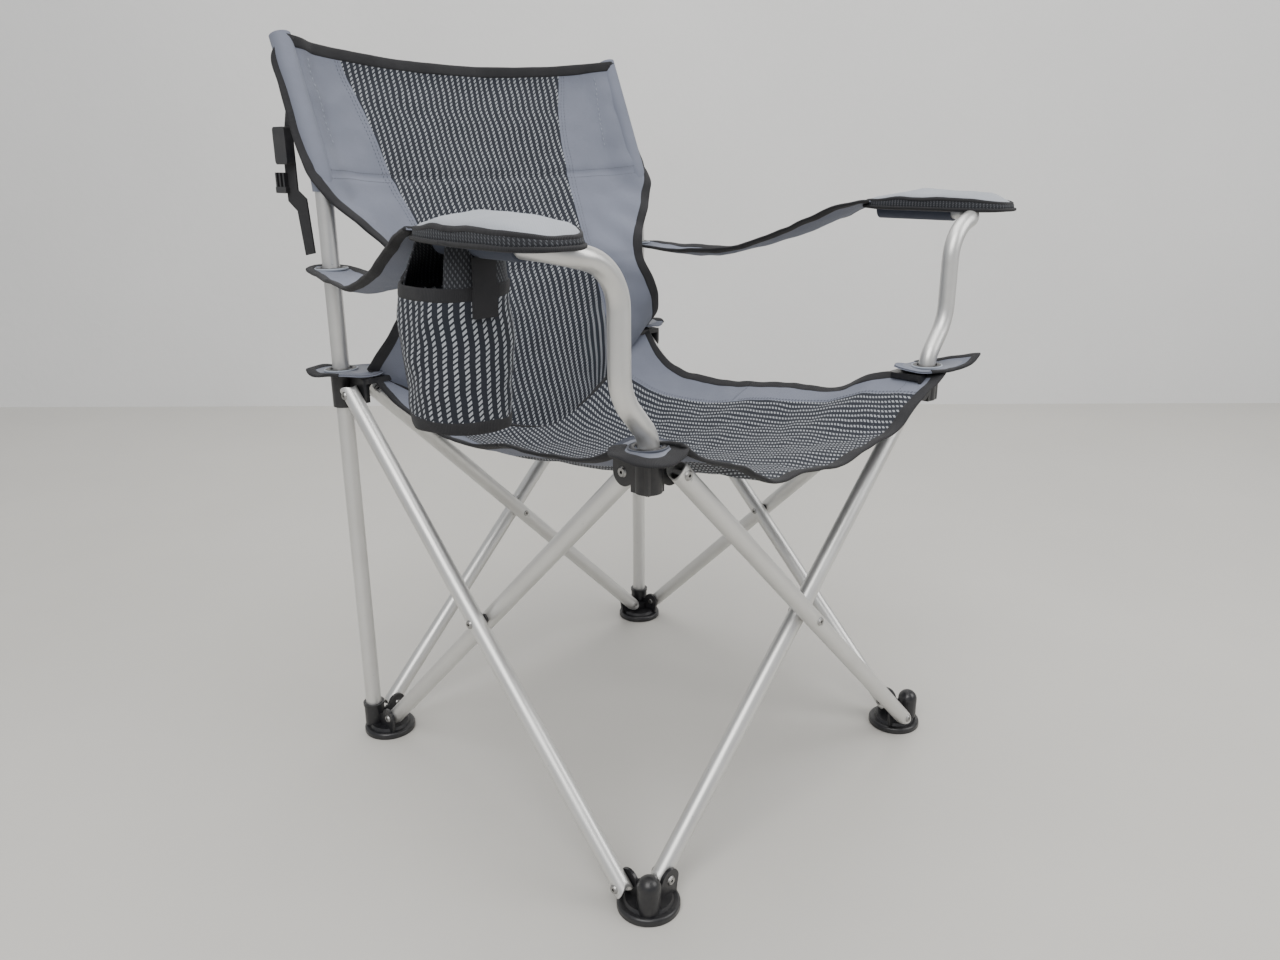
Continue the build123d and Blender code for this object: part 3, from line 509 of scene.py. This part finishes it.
# how far along the seat from the seam to the front edge, then the same
SEAT = (
    (0.00, 262, 246, 545, 206, 425, 176),
    (0.10, 250, 206, 506, 166, 413, 182),
    (0.22, 243, 132, 478, 104, 409, 188),
    (0.34, 243, 50, 478, 40, 415, 192),
    (0.42, 243, 0, 485, 0, 421, 194),
    (0.54, 243, -70, 492, -66, 431, 198),
    (0.70, 242, -150, 500, -146, 444, 204),
    (0.84, 242, -210, 524, -216, 455, 206),
    (0.93, 252, -256, 540.5, -272, 464, 206),
    (1.00, 256, -300, 546, -308, 472, 206),
)
SEAT_FOLD = 0.42


def spread_u(share):
    """U moved so that whole columns of the grid lie on the mesh's two edges."""
    inner = np.clip(np.abs(U) / MESH_U, 0, 1) * share[:, None]
    outer = np.clip((np.abs(U) - MESH_U) / (1 - MESH_U), 0, 1) * (1 - share[:, None])
    return np.sign(U) * (inner + outer)


def in_mesh(j):
    """Whether the column of faces after column j is on the mesh."""
    return abs((U[j] + U[j + 1]) / 2) < MESH_U


def sling(stations, rows, power):
    """A grid of cloth through stations. power shapes each row between its middle and its edges."""
    half_x, edge_y, edge_z, mid_y, mid_z, mesh_x = spline(stations, rows).T
    u = spread_u(mesh_x / half_x)
    bow = np.abs(u) ** power[:, None]
    x = u * half_x[:, None]
    y = mid_y[:, None] + (edge_y - mid_y)[:, None] * bow
    z = mid_z[:, None] + (edge_z - mid_z)[:, None] * bow
    return np.stack([x, y, z], axis=2), u


def back_grid():
    """The back's cloth, from its top edge to the seam with the seat."""
    rows = np.linspace(0, 1, 131)
    grid, u = sling(BACK, rows, np.interp(rows, [0, 0.5, 0.8, 1], [2.2, 2.0, 1.9, 1.6]))
    # above the arms the cloth goes round the front of each upright
    sleeve = np.clip((0.40 - rows) / 0.08, 0, 1)[:, None]
    near_edge = np.clip((np.abs(grid[..., 0]) - 232) / 34, 0, 1)
    round_it = np.clip((np.abs(grid[..., 0]) - 274) / 24, 0, 1)
    grid[..., 1] -= sleeve * (near_edge**2 * (3 - 2 * near_edge) * 14 - round_it**2 * 15)
    normal = normals_of(grid)
    # two quilted rows across, soft folds at the waist and a slack middle
    across = np.exp(-(((rows - 0.325) / 0.012) ** 2))[:, None]
    across = across + 0.6 * np.exp(-(((rows - 0.60) / 0.014) ** 2))[:, None]
    side = np.clip((np.abs(u) - 0.55) / 0.3, 0, 1)
    waist = np.exp(-(((rows - 0.50) / 0.16) ** 2))[:, None]
    folds = np.sin(grid[..., 0] * 0.10 + grid[..., 2] * 0.075) * waist
    grid = grid + normal * (across * 2.4 * (1 - 0.3 * side))[..., None]
    grid = grid + normal * (folds * side * 2.6)[..., None]
    grid = crumple(grid, normal, 5.0, 95.0, 3.1)
    return crumple(grid, normal, 2.0, 30.0, 8.7)


def seat_grid():
    """The seat's cloth, from the seam with the back to its front edge."""
    rows = np.concatenate([np.linspace(0, SEAT_FOLD, 57), np.linspace(SEAT_FOLD, 1, 79)[1:]])
    grid, u = sling(SEAT, rows, np.interp(rows, [0, 0.15, 0.7, 1], [1.6, 1.9, 2.0, 2.1]))
    normal = normals_of(grid)
    edge = np.clip((np.abs(u) - 0.5) / 0.5, 0, 1)
    front = np.clip((rows - 0.75) / 0.25, 0, 1)[:, None]
    ripples = np.sin(grid[..., 0] * 0.05 + grid[..., 1] * 0.02 + 0.7) * front * (1 - edge * 0.4) * 3.4
    gathers = np.sin(grid[..., 1] * 0.043 + np.sign(grid[..., 0])) * edge**2 * 1.8
    ease = np.clip(rows / 0.05, 0, 1)[:, None]
    grid = grid + normal * ((ripples + gathers) * ease)[..., None]
    calm = crumple(grid, normal, 5.0, 80.0, 21.0) - grid
    fine = crumple(grid, normal, 2.2, 28.0, 34.0) - grid
    return grid + (calm + fine) * ease[..., None]


def soft(obj, body, anchor, keep, axis=(1, 0, 0)):
    """A soft piece rides a body, on its own copy of its mesh."""
    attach(obj, body)
    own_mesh(obj)
    return obj


BACK_FOLD = {"body": "base", "anchor": (-UPRIGHT_AT, 300, 800), "keep": 0.198}
SEAT_FOLDS = {
    "seat_rear": {"body": "seat_back_half", "anchor": (-257, 0, 480), "keep": 0.12},
    "seat_front": {"body": "seat_front_half", "anchor": (-257, 0, 480), "keep": 0.12},
}


def column_lines(grid, normal, column, lift):
    """A line of sewing down a column of a grid, just short of both ends."""
    return grid[2:-2, column] + normal[2:-2, column] * lift, normal[2:-2, column]


def row_line(grid, normal, row, lift, first, last):
    """A line of sewing across a row of a grid."""
    return grid[row, first:last] + normal[row, first:last] * lift, normal[row, first:last]


EDGE_A = int(np.argmin(np.abs(U + MESH_U)))
EDGE_B = COLUMNS - 1 - EDGE_A


def seam_lines(grid, normal, off):
    """Sewing beside both edges of the mesh."""
    lift = SHEET / 2 + 0.1
    return [column_lines(grid, normal, c, lift) for c in (EDGE_A - off, EDGE_B + off)]


def bound_edges(prefix, grid, normal, sides, body, anchor, keep, width=16.0):
    """Black bindings along a grid's edges. They ride the same body as the cloth."""
    made = []
    for side in sides:
        line, inward, up = grid_edge(grid, normal, side)
        piece = tape(f"{prefix}_binding_{side}", line, inward, up, width=width)
        made.append(soft(piece, body, anchor, keep))
    return made


# the back
back = back_grid()
back_front = -normals_of(back)
back_cloth = sheet_mesh("back_cloth", back, SHEET, [PANEL, MESH], lambda i, j: int(in_mesh(j)))
soft(back_cloth, **BACK_FOLD)
back_pieces = bound_edges("back", back, back_front, ("first", "left", "right"), **BACK_FOLD)
back_rows = [row_line(back, back_front, r, SHEET / 2 + 0.1, 4, -4) for r in (41, 44)]
back_rows += [row_line(back, back_front, r, SHEET / 2 + 0.1, EDGE_A, EDGE_B) for r in (78,)]
back_seams = seam_lines(back, back_front, 1) + seam_lines(back, back_front, 2)
back_sewing = stitches("back_sewing", back_seams + back_rows)
tucks = []
for side in (-1, 1):
    column = int(np.argmin(np.abs(U - side * 0.83)))
    tucks.append((back[5:34, column] + back_front[5:34, column] * 1.3, back_front[5:34, column]))
back_tucks = stitches("back_tucks", tucks, length=5.0, gap=3.0, mat=PALE_THREAD)
back_pieces += [soft(back_sewing, **BACK_FOLD), soft(back_tucks, **BACK_FOLD)]
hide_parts("back_panel")

# the seat, in two halves that meet at the fold
seat = seat_grid()
seat_top = -normals_of(seat)
fold_row = 56
halves = {"seat_rear": slice(0, fold_row + 1), "seat_front": slice(fold_row, None)}
for half, rows in halves.items():
    cloth = sheet_mesh(f"{half}_cloth", seat[rows], SHEET, [PANEL, MESH], lambda i, j: int(in_mesh(j)))
    soft(cloth, **SEAT_FOLDS[half])
    sides = ("left", "right") if half == "seat_rear" else ("left", "right", "last")
    pieces = bound_edges(half, seat[rows], seat_top[rows], sides, **SEAT_FOLDS[half])
    lines = seam_lines(seat[rows], seat_top[rows], 1) + seam_lines(seat[rows], seat_top[rows], 2)
    if half == "seat_front":
        lines.append(row_line(seat, seat_top, len(seat) - 10, SHEET / 2 + 0.1, 3, -3))
    pieces.append(soft(stitches(f"{half}_sewing", lines), **SEAT_FOLDS[half]))
    if half == "seat_rear":
        line, inward, up = grid_edge(seat, seat_top, "first")
        piping = tape("seat_back_piping", line[4:-4], inward[4:-4], up[4:-4], width=6.0, thickness=6.0)
        pieces.append(soft(piping, **SEAT_FOLDS[half]))
    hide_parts(half)


# ---------------------------------------------------------------- seat corners
def corner_patch(corner, side_x, side_y, post, outline, curl, seed,
                 face=PANEL, rim_thread=PALE_THREAD, hem=13.0):
    """The reinforced corner of the seat on a hub: a three-cornered patch round the post."""
    rings, around = 12, 72
    hole = TUBE_R + 1.5
    angles = np.linspace(0, 2 * math.pi, around, endpoint=False)
    reach = np.interp(np.degrees(angles), outline[0], outline[1], period=360)
    grid = np.empty((rings, around + 1, 3))
    for i in range(rings):
        share = i / (rings - 1)
        radius = hole + (reach - hole) * share
        x, y = radius * np.cos(angles), radius * np.sin(angles)
        out = np.maximum(x + y, 0) / 1.414
        z = PATCH_Z + curl * (np.maximum(out - 16, 0) / 50) ** 1.6
        z += 1.8 * np.sin(angles * 3 + seed) * share**2
        grid[i, :around] = np.stack([side_x * (post + x), side_y * (post + y), z], axis=1)
    grid[:, around] = grid[:, 0]
    if side_x * side_y < 0:
        grid = grid[:, ::-1]
    normal = normals_of(grid)
    grid = crumple(grid, normal, 1.6, 24.0, seed)
    grid[:, -1] = grid[:, 0]
    patch = sheet_mesh(f"{corner}_seat_patch", grid, 2.4, [face, VINYL], lambda i, j: int(i < 7))
    body = "hub_" + corner
    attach(patch, body)
    upward = np.sign(normal[3, 3, 2]) * normal
    turn = np.degrees(np.arctan2(side_y * grid[-1, :-1, 1] - post, side_x * grid[-1, :-1, 0] - post))
    order = np.argsort((turn + 200) % 360)
    order = order[((turn[order] + 200) % 360 > 140) & ((turn[order] + 200) % 360 < 340)]
    inward = (grid[-3] - grid[-1])[order]
    edge = tape(f"{corner}_patch_binding", grid[-1, order], inward, upward[-1, order], width=hem)
    centre = (side_x * post, side_y * post, PATCH_Z + EYELET_LIFT)
    ring = oval_ring(f"{corner}_eyelet", centre, TUBE_R + 1.6, 6.0, 3.4, 1.18)
    rim = oval_ring(f"{corner}_eyelet_rim", centre, TUBE_R + 6.4, 2.4, 2.6, 1.18, mat=rim_thread)
    pieces = [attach(p, body) for p in (edge, ring, rim)]
    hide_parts(f"{corner}_seat_corner")


# angles are from outward in x towards outward in y, and reaches are from the post
FRONT_OUTLINE = ([0, 25, 45, 65, 90, 135, 180, 225, 270, 315], [44, 58, 68, 55, 40, 34, 33, 44, 33, 36])
GATHERED_OUTLINE = ([0, 25, 45, 65, 90, 135, 180, 225, 270, 315], [42, 47, 50, 46, 40, 36, 36, 46, 36, 36])
REAR_OUTLINE = ([0, 45, 90, 135, 180, 225, 270, 315], [34, 44, 36, 40, 50, 60, 50, 40])
corner_patch("front_right", -1, -1, POST_AT, GATHERED_OUTLINE, -5.0, 1.0, UNDER, DARK_THREAD, 19.0)
corner_patch("front_left", 1, -1, POST_AT, FRONT_OUTLINE, 17.0, 2.0)
corner_patch("rear_left", 1, 1, UPRIGHT_AT, REAR_OUTLINE, 3.0, 3.0)
corner_patch("rear_right", -1, 1, UPRIGHT_AT, REAR_OUTLINE, 3.0, 4.0)


# ---------------------------------------------------------------- arms
def arm_pad(side, word):
    """The padded arm top: a dark underside, a mesh band round it and a domed light top."""
    around = 96
    angles = np.linspace(0, 2 * math.pi, around, endpoint=False)
    cos, sin = np.cos(angles), np.sin(angles)
    along = np.sign(sin) * np.abs(sin) ** 0.62
    wide = np.sign(cos) * np.abs(cos) ** 0.62
    # share of the outline, and height
    profile = (
        (0.05, 739.0), (0.55, 738.0), (0.90, 737.5), (0.985, 738.5),
        (1.02, 741.0), (1.025, 745.0), (1.02, 750.0), (0.995, 753.0),
        (0.975, 754.0), (0.94, 756.5), (0.86, 759.0), (0.72, 760.8),
        (0.50, 762.0), (0.26, 762.8), (0.04, 763.0),
    )
    points = []
    for share, height in profile:
        y = -200 - along * 101 * share
        taper = (y + 300) / 200
        centre = 397 - 13 * taper
        nose = np.clip((0.16 - taper) / 0.16, 0, 1)
        half = (43.5 - 3.5 * taper - 7.0 * nose) * share
        x = centre + wide * half
        tail = (np.clip(taper - 0.6, 0, 1) / 0.4) ** 2
        sag = 6.0 * nose - 2.0 * np.sin(np.clip(taper, 0, 1) * math.pi) + 9.0 * tail
        dent = np.array([noise.noise(Vector((a / 40 + side, b / 40, height / 30))) for a, b in zip(x, y)])
        upper = min(1.0, max(0.0, (height - 744) / 16))
        points.append(np.stack([side * x, y, height + upper * (dent * 4.0 - sag)], axis=1))
    grid = np.array(points)
    rings = len(profile)
    faces, slots, uvs = [], [], []
    run = np.linalg.norm(np.diff(grid[5], axis=0, append=grid[5][:1]), axis=1).cumsum() / 1000
    flat = grid.reshape(-1, 3) / 1000
    for i in range(rings - 1):
        for j in range(around):
            k = (j + 1) % around
            quad = (i * around + j, i * around + k, (i + 1) * around + k, (i + 1) * around + j)
            faces.append(quad if side < 0 else quad[::-1])
            slot = 0 if i < 3 else 1 if i < 7 else 2
            slots.append(slot)
            if slot == 1:
                start = run[j - 1] if j else 0.0
                square = [(at, flat[q, 2]) for at, q in zip((start, run[j], run[j], start), quad)]
            else:
                square = [(flat[q, 0], flat[q, 1]) for q in quad]
            uvs += square if side < 0 else square[::-1]
    low, high = tuple(range(around)), tuple((rings - 1) * around + j for j in range(around))
    for ring, turn, slot in ((low, -1, 0), (high, 1, 2)):
        ring = ring[::turn * (1 if side < 0 else -1)]
        faces.append(ring)
        slots.append(slot)
        uvs += [(flat[q, 0], flat[q, 1]) for q in ring]
    pad = make_mesh(f"{word}_arm_cushion", grid.reshape(-1, 3), faces, [UNDER, BAND, PAD_TOP], uvs, slots)
    body = f"hub_front_{word}"
    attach(pad, body)
    up = np.broadcast_to(np.array([0.0, 0.0, 1.0]), grid[4].shape)
    binding = tape(f"{word}_arm_binding", grid[4], grid[1] - grid[4], up, width=11.0, overhang=4.0,
                   closed=True)
    piping = tape(f"{word}_arm_piping", grid[7], grid[10] - grid[7], up, width=4.0, thickness=3.6,
                  overhang=2.2, closed=True)
    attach(binding, body)
    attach(piping, body)
    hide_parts(f"{word}_arm_pad")


def arm_strap(side, word):
    """The cloth strip from the pad to the ring round the upright."""
    stations = (
        # y, centre's x, z, half width, rise of the edges
        (-116, 386, 748, 38, 1),
        (-80, 372, 737, 38, 3),
        (-30, 358, 712, 37, 5),
        (50, 336, 680, 36, 6),
        (120, 318, 663, 35, 5),
        (200, 300, 663, 34, 4),
        (262, 286, 671, 32, 1),
        (282, 282, 673, 31, 0),
        (298, 280, 674, 26, 0),
        (308, 279, 675, 16, 0),
        (313, 279, 675, 5, 0),
    )
    rows = np.concatenate([np.linspace(-116, 262, 62), np.linspace(266, 313, 16)])
    x, z, half, rise = spline(stations, rows).T
    across = np.linspace(-1, 1, 25)
    grid = np.stack(
        [
            side * (x[:, None] + across[None, :] * half[:, None]),
            np.broadcast_to(rows[:, None], (len(rows), 25)),
            z[:, None] + (across**2)[None, :] * rise[:, None] * 1.6,
        ],
        axis=2,
    )
    if side < 0:
        grid = grid[:, ::-1]
    normal = normals_of(grid)
    hold = np.clip(np.minimum((rows + 116) / 40, (255 - rows) / 40), 0, 1)[:, None, None]
    grid = grid + hold * (crumple(grid, normal, 4.5, 55.0, side * 5.0) - grid)
    grid = crumple(grid, normal, 1.6, 22.0, side * 9.0)
    normal = normals_of(grid)
    strap = sheet_mesh(f"{word}_arm_cloth", grid, 2.6, [PANEL])
    place = {"body": f"hub_rear_{word}", "anchor": (0, 322, 700), "keep": 0.06, "axis": (0, 1, 0)}
    soft(strap, **place)
    up = normal * np.sign(normal[30, 12, 2])
    pieces = []
    for edge in ("left", "right"):
        line, inward, out = grid_edge(grid, up, edge)
        pieces.append(soft(tape(f"{word}_strap_binding_{edge}", line, inward, out, width=13.0), **place))
    line, inward, out = (values[4:-4] for values in grid_edge(grid, up, "last"))
    pieces.append(soft(tape(f"{word}_strap_binding_end", line, inward, out, width=13.0), **place))
    centre = (side * UPRIGHT_AT, UPRIGHT_AT, STRAP_EYELET_Z + 1.6)
    eyelet = oval_ring(f"{word}_strap_eyelet", centre, TUBE_R + 1.4, 6.0, 4.2, 1.15)
    rim = oval_ring(f"{word}_strap_rim", centre, TUBE_R + 6.2, 2.2, 3.0, 1.15, mat=PALE_THREAD)
    pieces += [soft(eyelet, **place), soft(rim, **place)]
    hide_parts(f"{word}_arm_strap", f"{word}_arm_eyelet")


for side, word in ((-1, "right"), (1, "left")):
    arm_pad(side, word)
    arm_strap(side, word)


# ---------------------------------------------------------------- cup holder
def cup_holder():
    """A mesh bag with a black band at its foot, a black hem at its mouth and a dark skirt up to the pad."""
    around = 96
    angles = np.linspace(0, 2 * math.pi, around + 1)
    cos, sin = np.cos(angles), np.sin(angles)
    wide = np.sign(cos) * np.abs(cos) ** 0.8
    long = np.sign(sin) * np.abs(sin) ** 0.8
    heights = np.linspace(CUP_BOTTOM, CUP_TOP, 46)
    rows = []
    for z in heights:
        share = (z - CUP_BOTTOM) / (CUP_TOP - CUP_BOTTOM)
        belly = 1 - 0.07 * (1 - share) ** 2 + 0.02 * math.sin(share * math.pi)
        # the far wall of the mouth hangs a little lower than the wall under the arm
        drop = 5.0 * share**3 * (0.5 - 0.5 * cos)
        rows.append(np.stack([
            CUP_CENTRE[0] + wide * CUP_HALF[0] * belly,
            CUP_CENTRE[1] + long * CUP_HALF[1] * belly,
            z - drop,
        ], axis=1))
    grid = np.array(rows)[:, ::-1]
    normal = normals_of(grid[:, :-1], closed=True)
    normal = np.concatenate([normal, normal[:, :1]], axis=1)
    grid = crumple(grid, normal, 4.5, 48.0, 12.0)
    grid = crumple(grid, normal, 1.6, 18.0, 17.0)
    grid[:, -1] = grid[:, 0]
    bag = sheet_mesh("cup_holder_bag", grid, 2.4, [BAG, UNDER], lambda i, j: 0)
    body = "hub_front_right"
    outward = grid - np.array([*CUP_CENTRE, 0.0])
    outward[..., 2] = 0
    ring = grid[:, :-1]
    up = ring[4] - ring[0]
    below = ring[-5] - ring[-1]
    hoop = {"width": 13.0, "thickness": 4.0, "closed": True}
    foot = tape("cup_holder_foot_band", ring[0], up, outward[0, :-1], **hoop)
    hem = tape("cup_holder_hem", ring[-1], below, outward[-1, :-1], **hoop)
    centre = np.array([*CUP_CENTRE, CUP_FLOOR_Z])
    disc = np.array([centre + (ring[0] - centre) * share for share in np.linspace(0.02, 1.0, 8)])
    disc[..., 2] = CUP_FLOOR_Z
    disc = np.concatenate([disc, disc[:, :1]], axis=1)
    floor = sheet_mesh("cup_holder_floor", disc, 2.4, [UNDER])
    seam_at = int(around * 0.62)
    line = ring[3:-3, seam_at]
    beside = ring[3:-3, seam_at + 3] - line
    side_seam = tape("cup_holder_side_tape", line, beside, outward[3:-3, seam_at], width=11.0, thickness=3.6)
    share = np.linspace(0, 1, 9)[:, None]
    top = ring[-1]
    inner_half = np.roll(top, around // 2, axis=0)[10:87]
    above = inner_half.copy()
    above[:, 0] = np.clip(CUP_CENTRE[0] + (above[:, 0] - CUP_CENTRE[0]) * 0.86, -430, -350)
    above[:, 1] = np.clip(above[:, 1], -178, -106)
    above[:, 2] = PAD_UNDERSIDE_Z
    low = inner_half - (0.0, 0.0, 6.0)
    wall = low[None] + (above - low)[None] * share[..., None]
    wall = crumple(wall, normals_of(wall), 2.5, 26.0, 41.0)
    skirt = sheet_mesh("cup_holder_skirt", wall, 1.8, [BAND])
    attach(bag, body)
    pieces = [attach(p, body) for p in (foot, hem, floor, side_seam, skirt)]
    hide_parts("cup_holder")


cup_holder()


# ---------------------------------------------------------------- the hard parts
def dress(node, m):
    """Give a CAD node its material, with smooth curves and sharp corners."""
    data = frame["nodes"][node].data
    data.materials.clear()
    data.materials.append(m)
    data.polygons.foreach_set("use_smooth", [True] * len(data.polygons))
    data.set_sharp_from_angle(angle=math.radians(SHARP_DEG))


BY_SLOT = {
    "frame_tube": ALUMINIUM,
    "rivet_metal": STEEL,
    "hard_plastic": PLASTIC,
    "panel_cloth": PANEL,
    "striped_mesh": MESH,
    "pad_cloth": PAD_TOP,
    "corner_vinyl": VINYL,
    "webbing": TAPE,
}
for entry in frame["record"]["subparts"]:
    dress(entry["node"], BY_SLOT[entry["material_slot"]])
for word in ("right", "left"):
    dress(f"{word}_arm_tunnel", TUNNEL)


# ---------------------------------------------------------------- room, light and camera
def plain(name, colour, rough, scale, depth):
    """Painted plaster or concrete with soft cloudy tones."""
    m, nodes, links, shader = material(name, colour, rough)
    place = object_coords(nodes)
    cloudy = noise_node(nodes, links, place, scale, 6.0, 0.6)
    darker = tuple(c * 0.86 for c in colour)
    links.new(mix_colours(nodes, links, cloudy, darker, colour), shader.inputs["Base Color"])
    bump(nodes, links, shader, noise_node(nodes, links, place, scale * 30, 4.0), depth, 0.3)
    return m


def room():
    """A pale floor and wall."""
    bpy.ops.mesh.primitive_plane_add(size=14, location=(0, 0, 0))
    floor = bpy.context.object
    floor.name = "stage_floor"
    floor.data.materials.append(plain("pale_floor", (0.60, 0.585, 0.55), 0.5, 1.6, 0.001))
    upright = (math.pi / 2, 0, math.radians(-45.8))
    bpy.ops.mesh.primitive_plane_add(size=14, location=(1.35, 1.45, 3.0), rotation=upright)
    wall = bpy.context.object
    wall.name = "stage_wall"
    wall.data.materials.append(plain("white_wall", (0.78, 0.78, 0.775), 0.8, 1.1, 0.003))
    return floor, wall


def light(name, place, size, power):
    """A square soft light that points at the chair."""
    data = bpy.data.lights.new(name, "AREA")
    data.size = size
    data.energy = power
    data.color = (1.0, 0.985, 0.96)
    obj = bpy.data.objects.new(name, data)
    bpy.context.scene.collection.objects.link(obj)
    obj.location = place
    obj.rotation_euler = (Vector((0, 0, 0.4)) - Vector(place)).to_track_quat("-Z", "Y").to_euler()
    return obj


def camera():
    """The camera in front of the chair, on the sitter's right."""
    azimuth, elevation, roll = math.radians(-45.79), math.radians(18.09), math.radians(-0.19)
    data = bpy.data.cameras.new("camera")
    data.sensor_width = 36.0
    data.lens = 27.86
    obj = bpy.data.objects.new("camera", data)
    bpy.context.scene.collection.objects.link(obj)
    back = Vector((
        math.sin(azimuth) * math.cos(elevation),
        -math.cos(azimuth) * math.cos(elevation),
        math.sin(elevation),
    ))
    obj.rotation_mode = "QUATERNION"
    obj.rotation_quaternion = (-back).to_track_quat("-Z", "Y")
    obj.rotation_quaternion.rotate(Quaternion(back, roll))
    obj.location = mm([(-934.56, -905.00, 810.51)])[0]
    bpy.context.scene.camera = obj


camera()
world = bpy.data.worlds.new("soft_room") if bpy.context.scene.world is None else bpy.context.scene.world
bpy.context.scene.world = world
world.use_nodes = True
world.node_tree.nodes["Background"].inputs[0].default_value = (0.86, 0.88, 0.92, 1.0)
world.node_tree.nodes["Background"].inputs[1].default_value = 0.62
stage = list(room())
stage.append(light("key", (-2.2, -1.2, 3.0), 2.4, 95))
stage.append(light("fill", (1.6, -2.6, 2.4), 2.2, 58))
stage.append(light("top", (0.2, 0.3, 3.4), 2.6, 60))
